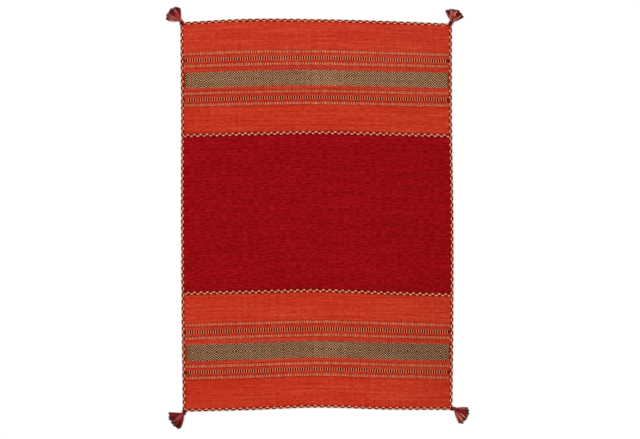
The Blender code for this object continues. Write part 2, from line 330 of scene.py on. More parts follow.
# The wool's surface
SPECULAR = 0.03
SHEEN_ROUGHNESS = 0.45
CLOTH_SHEEN = 0.03
YARN_SHEEN = 0.04
DYE_STREAKS = (
    # short streaks, long streaks, ribs and broad bands of the cloth's dye:
    # how strong, how fine across, how fine along, place in the noise, detail
    (0.74, 32.0, 130.0, 0.0, 3.0),
    (0.60, 3.0, 75.0, 7.0, 2.0),
    (0.24, 130.0, 2.5, 3.0, 2.0),
    (0.22, 0.5, 8.0, 11.0, 1.0),
)
CLOTH_FIBRES = (0.30, 500.0, 2600.0, 0.0, 3.0)
# How much the dye's streaks darken and deepen the wool, and how much of it fades with the short ones
DYE_SHADE = 0.25
DYE_DEPTH = 0.80
FADING = 0.30
LEAST_FADING = 0.028
# How much beads differ, how much painted light and shade make their domes lighter on top and darker at their
# edges, how round they are, and how bright all the cloth is
BEAD_SHADE = 0.16
DOME_PAINTED_SHADE = 0.34
RIB_ROUNDNESS = 0.35
BEAD_ROUNDNESS = 0.7
CLOTH_LIGHT = 0.83
CLOTH_BUMP = 0.0005
CLOTH_FIBRE_BUMP = 0.25
CLOTH_ROUGHNESS = 0.90
# Plied yarn: plies a metre in the braids and in the tassels, strands in a ply, fibres and clouds of its dye
BRAID_PLIES = 130.0
TASSEL_PLIES = 170.0
PLIES = 2.0
STRANDS_IN_PLY = 3
YARN_FIBRES_ALONG = 260.0
YARN_FIBRES_AROUND = 2.2
YARN_CLOUDS_ALONG = 40.0
# Painted shade: the yarn is darker in the grooves between its plies and lighter on their crests
PLY_PAINTED_SHADE = 0.30
YARN_FIBRE_SHADE = 0.50
YARN_CLOUD_SHADE = 0.30
YARN_LIGHT = 0.82
YARN_BUMP = 0.0007
YARN_FIBRE_BUMP = 0.35
YARN_ROUGHNESS = 0.78
FIBRE_ROUGHNESS = 0.2

# Where things are on the map that their materials are baked through. Each yarn has a cell of its own.
CELL_WALLS_ALONG = (0.06, 0.76)
CELL_WALLS_AROUND = (0.08, 0.92)
CELL_END_RADIUS = 0.06
CELL_ENDS_ALONG = 0.88
CELL_ENDS_AROUND = (0.28, 0.72)
MAP_ALONG = (0.010, 0.970)
MAP_FACE = (0.010, 0.620)
MAP_BACK = (0.990, 0.650)
MAP_RIGHT_EDGE = (0.632, 0.637)
MAP_LEFT_EDGE = (0.628, 0.623)
MAP_END_STRIPS = (0.976, 0.988)
MAP_STRIP_WIDTH = 0.008

# What the uneven yarns are drawn from
BRAID_SEED = 5
LOCK_SEED = 11
LOCK_YARN_SEED = 23
WOOL_SEED = 3

# The studio. The camera stands straight above a place near the rug's middle.
FLOOR_HALF = 20.0
FLOOR_DROP = 0.0005
FLOOR_ROUGHNESS = 0.9
FLOOR_SPECULAR = 0.2
CAMERA_PLACE = (0.0165, -0.0254, 8.922)
CAMERA_LENS = 85.0
SENSOR_WIDTH = 36.0
WORLD_STRENGTH = 0.72
LAMPS = (
    # name, place, size, power
    ("main_lamp", (-5.0, 6.0, 8.0), 4.0, 480.0),
    ("fill_lamp", (6.0, -5.0, 8.0), 4.0, 380.0),
)


def linear(levels):
    """An sRGB colour, in levels from 0 to 255, as linear RGBA."""
    shares = (level / 255 for level in levels)
    return (*(s / 12.92 if s <= 0.04045 else ((s + 0.055) / 1.055) ** 2.4 for s in shares), 1.0)


def linear_rgb(levels):
    """An sRGB colour as an array of linear RGB."""
    return np.array(linear(levels)[:3])


# Where things lie


def through_stations(stations, share):
    """Read a smooth curve through evenly spaced stations at shares of the way along them."""
    padded = np.array((2 * stations[0] - stations[1], *stations, 2 * stations[-1] - stations[-2]))
    last = len(stations) - 1
    place = np.clip(share, 0.0, 1.0) * last
    index = np.minimum(np.asarray(place).astype(int), last - 1)
    part = place - index
    before, here, there, after = (padded[index + step] for step in range(4))
    lean_in = (there - before) / 2
    lean_out = (after - here) / 2
    return (
        here * (1 + 2 * part) * (1 - part) ** 2
        + lean_in * part * (1 - part) ** 2
        + there * part**2 * (3 - 2 * part)
        + lean_out * part**2 * (part - 1)
    )


def as_it_lies(across, along):
    """Turn places on the straight rug, measured from its middle, into x and y on the bowed rug."""
    from_left = across / RUG_WIDTH + 0.5
    from_top = 0.5 - along / RUG_LENGTH
    left = -RUG_WIDTH / 2 - through_stations(EDGE_BOW_MM["left"], from_top) * MM
    right = RUG_WIDTH / 2 + through_stations(EDGE_BOW_MM["right"], from_top) * MM
    top = RUG_LENGTH / 2 + through_stations(EDGE_BOW_MM["top"], from_left) * MM
    bottom = -RUG_LENGTH / 2 - through_stations(EDGE_BOW_MM["bottom"], from_left) * MM
    return left + (right - left) * from_left, top + (bottom - top) * from_top


def weft_bow(across, along):
    """How far the weft at places on the straight rug lies towards the top."""
    share = across / RUG_WIDTH + 0.5
    places = [place for place, _ in WEFT_BOW_MM]
    only = np.eye(len(places))
    bow = 0.0
    for number, (_, stations) in enumerate(WEFT_BOW_MM):
        bow = bow + np.interp(along, places, only[number]) * through_stations(stations, share)
    return bow * MM


# Meshes


def add_uv(mesh, name, corners):
    layer = mesh.uv_layers.new(name=name)
    layer.uv.foreach_set("vector", np.asarray(corners, np.float32).ravel())


def add_piece(mesh, node, material):
    """Put a mesh in the scene in place of a CAD node."""
    mesh.materials.append(material)
    piece = bpy.data.objects.new(mesh.name, mesh)
    bpy.context.scene.collection.objects.link(piece)
    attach(piece, BODY)
    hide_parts(node)
    return piece


def unit(vectors):
    return vectors / np.linalg.norm(vectors, axis=-1, keepdims=True)


def tube_points(centres, radii):
    """Points round yarns that run along centres (yarns x rings x 3), and how far along each ring is."""
    ahead = unit(np.gradient(centres, axis=1))
    side = unit(np.cross(ahead, (0.0, 0.0, 1.0)))
    up = np.cross(side, ahead)
    steps = np.linalg.norm(np.diff(centres, axis=1), axis=2)
    reach = np.concatenate((np.zeros((len(centres), 1)), np.cumsum(steps, axis=1)), axis=1)
    turn = np.linspace(0, 2 * math.pi, YARN_SIDES, endpoint=False)
    ring = np.cos(turn)[:, None] * side[..., None, :] + np.sin(turn)[:, None] * up[..., None, :]
    return centres[..., None, :] + radii[..., None, None] * ring, reach


def bake_corners(yarns, rings):
    """Each yarn's own cell of a square map: its walls, then its two ends beside them."""
    cells = math.ceil(math.sqrt(yarns))
    corner = np.stack(np.divmod(np.arange(yarns), cells), axis=-1)
    along = np.linspace(*CELL_WALLS_ALONG, rings)
    around = np.linspace(*CELL_WALLS_AROUND, YARN_SIDES + 1)
    grid = np.stack(np.meshgrid(along, around, indexing="ij"), axis=-1)
    walls = np.broadcast_to(grid, (yarns, *grid.shape)) + corner[:, None, None]
    turn = np.linspace(0, 2 * math.pi, YARN_SIDES, endpoint=False)
    end = CELL_END_RADIUS * np.stack((np.cos(turn), np.sin(turn)), axis=-1)
    caps = [end + (CELL_ENDS_ALONG, place) + corner[:, None] for place in CELL_ENDS_AROUND]
    return walls / cells, np.concatenate(caps) / cells


def wall_corners(grid):
    """Corner values of the walls' faces from values on a grid of yarns x rings x (sides + 1)."""
    return np.stack((grid[:, :-1, :-1], grid[:, :-1, 1:], grid[:, 1:, 1:], grid[:, 1:, :-1]), axis=3)


def yarn_mesh(name, centres, radii, shades, place=None, mirrored=False):
    """One mesh of many yarns. place turns points into x, y and z, and shades is each ring's linear colour."""
    yarns, rings, _ = centres.shape
    points, reach = tube_points(centres, radii)
    if place is not None:
        points = place(points)
    number = np.arange(yarns * rings * YARN_SIDES).reshape(yarns, rings, YARN_SIDES)
    closed = np.concatenate((number, number[:, :, :1]), axis=2)
    walls = wall_corners(closed)
    faces = walls.reshape(-1, 4).tolist() + number[:, 0, ::-1].tolist() + number[:, -1].tolist()
    mesh = bpy.data.meshes.new(name)
    mesh.from_pydata(points.reshape(-1, 3).tolist(), [], faces)
    mesh.shade_smooth()

    around = np.arange(YARN_SIDES + 1) / YARN_SIDES
    first_turn = np.arange(yarns)[:, None, None] * 0.37
    grid = np.stack(np.broadcast_arrays(reach[..., None] + first_turn, around), axis=-1)
    cap_uv = np.zeros((2 * yarns * YARN_SIDES, 2))
    add_uv(mesh, "Yarn", np.concatenate((wall_corners(grid).reshape(-1, 2), cap_uv)))
    baked, caps = bake_corners(yarns, rings)
    add_uv(mesh, "OFBake", np.concatenate((wall_corners(baked).reshape(-1, 2), caps.reshape(-1, 2))))

    colour = np.ones((yarns, rings, YARN_SIDES, 4), np.float32)
    colour[..., :3] = np.asarray(shades)[:, :, None, :3]
    mesh.attributes.new("shade", "FLOAT_COLOR", "POINT").data.foreach_set("color", colour.ravel())
    if mirrored:
        mesh.flip_normals()
    return mesh


# Materials


class Number:
    """A number worked out by a material's nodes. Plain arithmetic on it adds the nodes."""

    def __init__(self, socket):
        self.socket = socket

    def worked(self, operation, *others):
        tree = self.socket.id_data
        node = tree.nodes.new("ShaderNodeMath")
        node.operation = operation
        for slot, item in zip(node.inputs, (self, *others)):
            if isinstance(item, Number):
                tree.links.new(item.socket, slot)
            else:
                slot.default_value = item
        return Number(node.outputs[0])

    def __add__(self, other):
        return self.worked("ADD", other)

    def __sub__(self, other):
        return self.worked("SUBTRACT", other)

    def __mul__(self, other):
        return self.worked("MULTIPLY", other)

    def __truediv__(self, other):
        return self.worked("DIVIDE", other)

    def __mod__(self, other):
        return self.worked("FLOORED_MODULO", other)

    def __abs__(self):
        return self.worked("ABSOLUTE")

    def floor(self):
        return self.worked("FLOOR")

    def wave(self):
        return self.worked("COSINE")

    def least(self, other):
        return self.worked("MINIMUM", other)

    def most(self, other):
        return self.worked("MAXIMUM", other)

    def below(self, other):
        return self.worked("LESS_THAN", other)

    def near(self, other, reach):
        return self.worked("COMPARE", other, reach)


class Looks:
    """A wool material being made: its node tree and its shader."""

    def __init__(self, name, sheen):
        self.material = bpy.data.materials.new(name)
        self.material.use_nodes = True
        self.tree = self.material.node_tree
        self.shader = self.tree.nodes["Principled BSDF"]
        self.shader.inputs["Specular IOR Level"].default_value = SPECULAR
        self.shader.inputs["Sheen Weight"].default_value = sheen
        self.shader.inputs["Sheen Roughness"].default_value = SHEEN_ROUGHNESS
        self.shader.inputs["Sheen Tint"].default_value = linear(SHEEN_TINT)

    def node(self, kind, **settings):
        node = self.tree.nodes.new(kind)
        for setting, value in settings.items():
            setattr(node, setting, value)
        return node

    def join(self, item, slot):
        """Give an input slot a number, a colour or another node's socket."""
        item = item.socket if isinstance(item, Number) else item
        if isinstance(item, bpy.types.NodeSocket):
            self.tree.links.new(item, slot)
        else:
            slot.default_value = item

    def uv(self, name):
        parts = self.node("ShaderNodeSeparateXYZ")
        self.join(self.node("ShaderNodeUVMap", uv_map=name).outputs[0], parts.inputs[0])
        return Number(parts.outputs[0]), Number(parts.outputs[1])

    def vector(self, x, y, z=0.0):
        node = self.node("ShaderNodeCombineXYZ")
        for slot, item in zip(node.inputs, (x, y, z)):
            self.join(item, slot)
        return node.outputs[0]

    def noise(self, place, scale, detail=2.0):
        """Smooth noise, about 0.5 on average."""
        node = self.node("ShaderNodeTexNoise", noise_dimensions="3D")
        self.join(place, node.inputs["Vector"])
        self.join(scale, node.inputs["Scale"])
        self.join(detail, node.inputs["Detail"])
        return Number(node.outputs[0])

    def scatter(self, place):
        """A number from 0 to 1 that differs from cell to cell."""
        node = self.node("ShaderNodeTexWhiteNoise", noise_dimensions="3D")
        self.join(place, node.inputs["Vector"])
        return Number(node.outputs[0])

    def mixed(self, share, first, second):
        node = self.node("ShaderNodeMix", data_type="RGBA")
        for slot, item in ((0, share), (6, first), (7, second)):
            self.join(item, node.inputs[slot])
        return node.outputs[2]

    def brightened(self, colour, factor):
        """A colour times a number."""
        node = self.node("ShaderNodeVectorMath", operation="SCALE")
        self.join(colour, node.inputs[0])
        self.join(factor, node.inputs["Scale"])
        return node.outputs[0]

    def deepened(self, colour, power):
        """A colour raised to a power: above 1 it is deeper and below 1 it is paler."""
        node = self.node("ShaderNodeGamma")
        self.join(colour, node.inputs["Color"])
        self.join(power, node.inputs["Gamma"])
        return node.outputs[0]

    def finish(self, colour, height, bump_depth, roughness):
        bump = self.node("ShaderNodeBump")
        self.join(height, bump.inputs["Height"])
        self.join(1.0, bump.inputs["Strength"])
        self.join(bump_depth, bump.inputs["Distance"])
        self.join(bump.outputs[0], self.shader.inputs["Normal"])
        self.join(colour, self.shader.inputs["Base Color"])
        self.join(roughness, self.shader.inputs["Roughness"])
        return self.material


def weave_pattern(looks, across, column, along):
    """The colour of the weft over each unit of the weave, one warp wide and one warp high."""

    def cream(ring):
        return (ring % WARPS_PER_RING).below(CREAM_UNITS - 0.5)

    level = (along / WARP).floor() * WARP + WARP / 2
    from_middle = (column - DIAMOND_MIDDLE_WARP).worked("PINGPONG", WARPS_PER_DIAMOND / 2)
    inside = across.near(SELVEDGE_MIDDLE, SELVEDGE_HALF)

    colour = looks.mixed(abs(level).near(BANDS_MIDDLE, BANDS_HALF), linear(ORANGE), linear(ORANGE_BETWEEN))
    colour = looks.mixed(level.near(TOP_END_MIDDLE, TOP_END_HALF), colour, linear(ORANGE_TOP_END))
    braids = CROSS_BRAIDS_FROM_MIDDLE
    centre_middle = (braids["top"] - braids["bottom"]) / 2
    centre_half = (braids["top"] + braids["bottom"]) / 2
    colour = looks.mixed(level.near(centre_middle, centre_half), colour, linear(CRIMSON))
    # A darker strip along each cross braid
    beside_cross_braids = level.near(braids["top"], BESIDE_CROSS_BRAID_HALF) + level.near(-braids["bottom"], BESIDE_CROSS_BRAID_HALF)
    colour = looks.brightened(colour, beside_cross_braids * (BESIDE_CROSS_BRAID_DARKENING - 1) + 1.0)

    for middle, first in LADDERS:
        bars = looks.mixed(cream(column - first), linear(LADDER_BROWN), linear(LADDER_CREAM))
        bars = looks.mixed(inside, linear(LADDER_SELVEDGE), bars)
        colour = looks.mixed(level.near(middle, LADDER_HALF), colour, bars)

    from_speckled = abs(level - SPECKLED[0])
    for middle in SPECKLED[1:]:
        from_speckled = from_speckled.least(abs(level - middle))
    ring = from_middle + (from_speckled / WARP + 0.5).floor()
    speckle = cream(ring) * from_speckled.below(SPECKLED_HALF)
    colour = looks.mixed(speckle, colour, linear(SPECKLE_CREAM))
    outline = (ring % WARPS_PER_RING).near(SPECKLE_OUTLINE_UNIT, 0.5) * from_speckled.below(SPECKLED_HALF)
    colour = looks.mixed(outline, colour, linear(BROWN_WEFT))
    dots = (column % WARPS_PER_RING).below(DOT_UNITS - 0.5) * from_speckled.near(DOTS_OUT, DOTS_HALF)
    colour = looks.mixed(dots, colour, linear(DOT_RED))

    for middle, half, steps, light_weft, dark_weft, plain_end in DIAMOND_BANDS:
        away = abs(level - middle)
        ring = from_middle + (away / WARP + 0.5).floor() + steps
        band = looks.mixed(cream(ring), linear(dark_weft), linear(light_weft))
        band = looks.mixed(across.below(plain_end), band, linear(PLAIN_BROWN))
        band = looks.mixed(inside, linear(BAND_SELVEDGE), band)
        colour = looks.mixed(away.below(half), colour, band)
    return colour


def unevenness(looks, across, along, kind):
    """Noise over the cloth, about 0 on average."""
    _, fine_across, fine_along, place, detail = kind
    return looks.noise(looks.vector(across * fine_across, along * fine_along, place), 1.0, detail) - 0.5


def rounded(turns):
    """0 at each whole number of turns and 1 halfway between them."""
    return ((turns % 1.0 - 0.5) * (2 * math.pi)).wave() * 0.5 + 0.5


def weave_looks():
    """Weft-faced wool cloth: uneven beads of weft over ribs of warp, with streaks of dye."""
    looks = Looks("woven_wool", CLOTH_SHEEN)
    across, along = looks.uv("Weave")
    column = (across / WARP).floor()
    colour = weave_pattern(looks, across, column, along)

    # Two beads of weft go over a warp, and those on the next warp lie half a bead further
    bead_along = along * (2 / WARP) + (column % 2) * 0.5
    each = looks.scatter(looks.vector(column, bead_along.floor())) - 0.5
    fibres = unevenness(looks, across, along, CLOTH_FIBRES)
    streaks = [unevenness(looks, across, along, kind) for kind in DYE_STREAKS]
    strong = [streak * kind[0] for streak, kind in zip(streaks, DYE_STREAKS)]
    dye = sum(strong[1:], strong[0])

    # Painted light and shade: ribs and bead domes are lighter on top and darker at their edges, and the same
    # dome also gives the bump
    over = rounded(across / WARP) * RIB_ROUNDNESS + (1 - RIB_ROUNDNESS)
    dome = over * (rounded(bead_along) * BEAD_ROUNDNESS + (1 - BEAD_ROUNDNESS))
    light = dye * DYE_SHADE + each * BEAD_SHADE + fibres * CLOTH_FIBRES[0] + dome * DOME_PAINTED_SHADE + CLOTH_LIGHT
    # Painted shade: the cloth is darker towards its right edge, and more so towards its bottom end
    painted_shade = (across - PAINTED_SHADE_FROM).most(0.0) * ((along * -PAINTED_SHADE_DOWN).most(0.0) + PAINTED_SHADE_ACROSS)
    light = light * (painted_shade * -1.0 + 1.0)
    faded = (streaks[0] * FADING + LEAST_FADING).most(0.0)
    colour = looks.mixed(faded, looks.deepened(colour, dye * -DYE_DEPTH + 1.0), linear(FADED_WOOL))
    height = dome + fibres * CLOTH_FIBRE_BUMP
    roughness = fibres * FIBRE_ROUGHNESS + CLOTH_ROUGHNESS
    return looks.finish(looks.brightened(colour, light), height, CLOTH_BUMP, roughness)


def yarn_looks(name, plies_per_metre):
    """Plied wool yarn in the colours of its mesh: two plies wound round each other, and their fibres."""
    looks = Looks(name, YARN_SHEEN)
    reach, around = looks.uv("Yarn")
    shade = looks.node("ShaderNodeAttribute", attribute_name="shade").outputs["Color"]
    wound = (around * PLIES - reach * plies_per_metre) * (2 * math.pi)
    ply = wound.wave() * 0.5 + 0.5
    strand = around * (PLIES * STRANDS_IN_PLY) - reach * (plies_per_metre * STRANDS_IN_PLY)
    fibres = looks.noise(looks.vector(reach * YARN_FIBRES_ALONG, strand * YARN_FIBRES_AROUND), 1.0, 3.0)
    clouds = looks.noise(looks.vector(reach * YARN_CLOUDS_ALONG, 0.0), 1.0, 1.0)
    uneven = (fibres - 0.5) * YARN_FIBRE_SHADE + (clouds - 0.5) * YARN_CLOUD_SHADE
    # Painted shade in the grooves between the plies, and the same wave also gives the bump
    light = ply * PLY_PAINTED_SHADE + uneven + YARN_LIGHT
    height = ply + fibres * YARN_FIBRE_BUMP
    roughness = fibres * FIBRE_ROUGHNESS + YARN_ROUGHNESS
    return looks.finish(looks.brightened(shade, light), height, YARN_BUMP, roughness)


# The woven cloth


def field_grid():
    """Places of the cloth's columns and rows, and how deep each column lies below a rib's crest."""
    half_width = RUG_WIDTH / 2 - EDGE_BRAID_WIDTH - GAP
    half_length = RUG_LENGTH / 2 - EDGE_BRAID_WIDTH - GAP
    halves = int(half_width / (WARP / 2))
    inner = np.arange(-halves, halves + 1)
    columns = np.concatenate(([-half_width], inner * WARP / 2, [half_width]))
    sunk = np.concatenate(([RIB_DEPTH], np.where(inner % 2 == 0, RIB_DEPTH, 0.0), [RIB_DEPTH]))
    rows = np.linspace(half_length, -half_length, FIELD_ROWS + 1)
    return columns, rows, sunk


def between(ends, share):
    """The places at some shares of the way from one end to the other."""
    return ends[0] + (ends[1] - ends[0]) * share


def field_bake_uv(columns, rows, walls):
    """The cloth's places on its map: its face, its back above it, and its edges in strips beside them."""
    along = between(MAP_ALONG, (rows[0] - rows) / (rows[0] - rows[-1]))
    share = (columns - columns[0]) / (columns[-1] - columns[0])
    face, back = between(MAP_FACE, share), between(MAP_BACK, share)
    grid = np.stack(np.broadcast_arrays(along[:, None], np.concatenate((face, back[::-1]))), axis=-1)
    wall_uv = grid.reshape(-1, 2)[walls]
    wall_uv[:, len(columns) - 1, :, 1] = np.repeat(MAP_RIGHT_EDGE, 2)
    wall_uv[:, -1, :, 1] = np.repeat(MAP_LEFT_EDGE, 2)
    parts = [wall_uv]
    for strip, (near, far) in zip(MAP_END_STRIPS, ((face[:-1], face[1:]), (face[1:], face[:-1]))):
        beyond = strip + MAP_STRIP_WIDTH
        corners = ((strip, near), (strip, far), (beyond, far), (beyond, near))
        pairs = [np.stack(np.broadcast_arrays(*corner), axis=-1) for corner in corners]
        parts.append(np.stack(pairs, axis=1))
    return np.concatenate([part.reshape(-1, 2) for part in parts])


def mark_sharp(mesh, sunk):
    """Sharp edges along the valleys between the ribs and round the cloth keep each rib round on its own."""
    count = len(sunk)
    corners = np.empty(len(mesh.edges) * 2, int)
    mesh.edges.foreach_get("vertices", corners)
    row, column = np.divmod(corners.reshape(-1, 2), 2 * count)
    place = np.where(column < count, column, 2 * count - 1 - column)[:, 0]
    in_valley = (sunk[place] > 0) & (column[:, 0] == column[:, 1])
    at_end = (row[:, 0] == row[:, 1]) & np.isin(row[:, 0], (0, FIELD_ROWS))
    mesh.attributes.new("sharp_edge", "BOOLEAN", "EDGE").data.foreach_set("value", in_valley | at_end)


def field_cloth(material):
    """The cloth as a closed sheet, ribbed over its warps on both faces."""
    columns, rows, sunk = field_grid()
    count = len(columns)
    across, along = np.meshgrid(np.concatenate((columns, columns[::-1])), rows)
    x, y = as_it_lies(across, along + weft_bow(across, along))
    waves = [np.sin(across * turns_across + along * turns_along) for turns_across, turns_along in SWELL_WAVES]
    swell = (sum(waves) / len(waves) + 1) / 2 * SWELL
    z = np.concatenate((FIELD_THICKNESS - sunk, sunk[::-1])) + swell
    number = np.arange(x.size).reshape(x.shape)

    here, there = number[:-1], number[1:]
    walls = np.stack((here, there, np.roll(there, -1, 1), np.roll(here, -1, 1)), axis=-1)
    over, under = number[:, :count], number[:, :count - 1:-1]
    top_end = np.stack((over[0, :-1], over[0, 1:], under[0, 1:], under[0, :-1]), axis=-1)
    bottom_end = np.stack((over[-1, 1:], over[-1, :-1], under[-1, :-1], under[-1, 1:]), axis=-1)
    faces = np.concatenate((walls.reshape(-1, 4), top_end, bottom_end))
    mesh = bpy.data.meshes.new("woven_cloth")
    mesh.from_pydata(np.stack((x, y, z), axis=-1).reshape(-1, 3).tolist(), [], faces.tolist())
    mesh.shade_smooth()
    add_uv(mesh, "Weave", np.stack((across, along), axis=-1).reshape(-1, 2)[faces.ravel()])
    add_uv(mesh, "OFBake", field_bake_uv(columns, rows, walls))
    mark_sharp(mesh, sunk)
    return add_piece(mesh, "field", material)


# The braids


def stitch_ends(length, stitch, first):
    """Where each stitch of a braid starts and ends."""
    ends = [0.0]
    reach = first
    while reach < length - stitch * SHORTEST_STITCH:
        ends.append(reach)
        reach += stitch
    ends.append(length)
    return list(zip(ends, ends[1:]))


def stitch_yarns(rows, rows_meet, cores, wools, ends, starts_cream, rng):
    """Centres, radii and colours of all the yarns of a braid, along its run, out and up."""
    length = ends[-1][1]
    part = np.linspace(-1.0, 1.0, STITCH_RINGS)
    arch = 1 - part**2
    taper = 1 - STITCH_TAPER * np.abs(part) ** 3
    level = np.ones(STITCH_RINGS)
    core_colour = linear_rgb(wools[1][1]) * CORE_SHADE
    yarns = []
    for number, (start, end) in enumerate(ends):
        middle, half = (start + end) / 2, (end - start) / 2
        for row_number, row in enumerate(rows):
            dark = (number + row_number + starts_cream) % 2 == 0
            colour = linear_rgb(wools[row_number][dark]) * rng.uniform(*STITCH_SHADES)
            shift = rng.uniform(-STITCH_SHIFT_MM, STITCH_SHIFT_MM)
            for out_middle, up_middle, out_end, up_end, radius in row:
                out = out_end + (out_middle - out_end + shift) * arch
                up = up_end + (up_middle - up_end) * np.sqrt(arch)
                lean = STITCH_LEAN * (rows_meet - out_middle)
                lean += rng.uniform(-STITCH_YARN_SHIFT_MM, STITCH_YARN_SHIFT_MM)
                reach = middle + lean * MM + part * half * STITCH_OVERLAP[dark]
                own_radius = radius * STITCH_FULLNESS[dark] * rng.uniform(*STITCH_YARN_FULLNESS) * taper
                yarns.append((reach, out, up, own_radius, colour * rng.uniform(*STITCH_YARN_SHADES)))
        for out, up, radius in cores:
            yarns.append((middle + part * half, out * level, up * level, radius * level, core_colour))
    reach, out, up, radii = (np.array([yarn[item] for yarn in yarns]) for item in range(4))
    centres = np.stack((np.clip(reach, 0.0, length), out * MM, up * MM), axis=-1)
    centres[..., 0] += np.linspace(0.0, LEAST_RUN, STITCH_RINGS)
    shades = np.repeat([yarn[4][None] for yarn in yarns], STITCH_RINGS, axis=1)
    return centres, radii * MM, shades


def braid(name, run, kind, bow_mm, yarns_of, lift, material, rng):
    """A two-row braid of plied yarns along its run on the straight rug."""
    start, end, outward = (np.array(item, float) for item in run)
    length = np.linalg.norm(end - start)
    way = (end - start) / length
    ends = stitch_ends(length, *(size * MM for size in STITCHES_MM[kind]))

    def place(points):
        reach, out, up = (points[..., axis] for axis in range(3))
        across = start[0] + way[0] * reach + outward[0] * out
        along = start[1] + way[1] * reach + outward[1] * out
        x, y = as_it_lies(across, along + through_stations(bow_mm, reach / length) * MM)
        return np.stack((x, y, up + lift), axis=-1)

    yarns = stitch_yarns(*yarns_of, ends, STARTS_CREAM[kind], rng)
    mirrored = way[0] * outward[1] - way[1] * outward[0] < 0
    mesh = yarn_mesh(f"{name}_yarns", *yarns, place, mirrored)
    return add_piece(mesh, name, material)


def edge_braid_runs():
    """Each edge braid's start, end and outward way on the straight rug, as in the solids' source."""
    half_width = RUG_WIDTH / 2
    half_length = RUG_LENGTH / 2
    inner_width = half_width - EDGE_BRAID_WIDTH
    inner_length = half_length - EDGE_BRAID_WIDTH
    short_width = inner_width - GAP
    short_length = inner_length - GAP
    return {
        "top": ((-short_width, inner_length), (short_width, inner_length), (0, 1)),
        "bottom": ((-short_width, -inner_length), (half_width, -inner_length), (0, -1)),
        "left": ((-inner_width, half_length), (-inner_width, -half_length), (-1, 0)),
        "right": ((inner_width, half_length), (inner_width, -short_length), (1, 0)),
    }


def all_braids(material, rng):
    made = []
    edge_yarns = (EDGE_ROWS, EDGE_ROWS_MEET, EDGE_CORES, BRAID_WOOLS["edge"])
    for edge, run in edge_braid_runs().items():
        name = f"edge_braid_{edge}"
        made.append(braid(name, run, edge, STRAIGHT_MM, edge_yarns, 0.0, material, rng))
    cross_yarns = (CROSS_ROWS, CROSS_ROWS_MEET, CROSS_CORES, BRAID_WOOLS["cross"])
    reach = RUG_WIDTH / 2 - EDGE_BRAID_WIDTH - GAP
    lift = FIELD_THICKNESS + GAP
    for side, sign in (("top", 1), ("bottom", -1)):
        along = sign * CROSS_BRAIDS_FROM_MIDDLE[side]
        run = ((-reach, along), (reach, along), (0, 1))
        name = f"cross_braid_{side}"
        bow_mm = CROSS_BRAID_BOW_MM[side]
        made.append(braid(name, run, "cross", bow_mm, cross_yarns, lift, material, rng))
    return made


# The tassels


def sideways(forward):
    return np.stack((-forward[..., 1], forward[..., 0]), axis=-1)


def level_way(angle):
    return np.stack((np.cos(angle), np.sin(angle)), axis=-1)


def braid_end(edge, corner):
    """The middle of an edge braid's end face on the floor, and the way square out of that face."""
    start, end, outward = edge_braid_runs()[edge]
    place, other = (start, end) if corner in ("top", "left") else (end, start)
    inner = np.array(as_it_lies(*place))
    outer_place = [place[axis] + outward[axis] * EDGE_BRAID_WIDTH for axis in range(2)]
    outer = np.array(as_it_lies(*outer_place))
    way_out = sideways(unit(outer - inner))
    if np.dot(way_out, inner - np.array(as_it_lies(*other))) < 0:
        way_out = -way_out
    return (inner + outer) / 2, way_out


def lock_yarn(tie, angle, root, reach, underside, turned):
    """The centre line of one yarn of a lock, from the tie to its cut end."""
    share = np.linspace(0.0, 1.0, LOCK_YARN_RINGS)
    way = level_way(angle)
    beside = (LOCK_HALF_WIDTH_MM + LOCK_WIDENING_MM * share) * MM * np.cos(turned)
    gather = np.clip(1 - share / LOCK_LEAVES_BUNDLE, 0, 1) ** 2
    spot = tie + way * (share * reach)[:, None] + sideways(way) * beside[:, None] + root[:2] * gather[:, None]
    above = (LOCK_MIDDLE_MM + LOCK_HALF_HEIGHT_MM * np.sin(turned)) * MM
    rest = underside * (1 - LOCK_SINKING * share**2) + above
    height = rest + (root[2] - rest) * gather
    radii = LOCK_YARN_RADIUS * (1 - LOCK_YARN_TAPER * share**6)
    return np.concatenate((spot, np.maximum(height, radii)[:, None]), axis=1), radii


def lock_shades(inner, outer):
    """The colours along a lock, from that near the tie to that near its cut end, which is darker."""
    share = np.linspace(0.0, 1.0, LOCK_YARN_RINGS)[:, None]
    blend = np.clip((share - LOCK_COLOUR_CHANGES) / LOCK_COLOUR_CHANGE, 0, 1)
    return (inner * (1 - blend) + outer * blend) * (1 - LOCK_END_SHADE * share**8)


def yarn_colour(wool):
    return linear_rgb(YARN_COLOURS[wool])


def drawn_colour(parts, wool_rng):
    """The colour of one of some wools, each as likely as it has parts."""
    return yarn_colour(wool_rng.choices(list(parts), weights=list(parts.values()))[0])


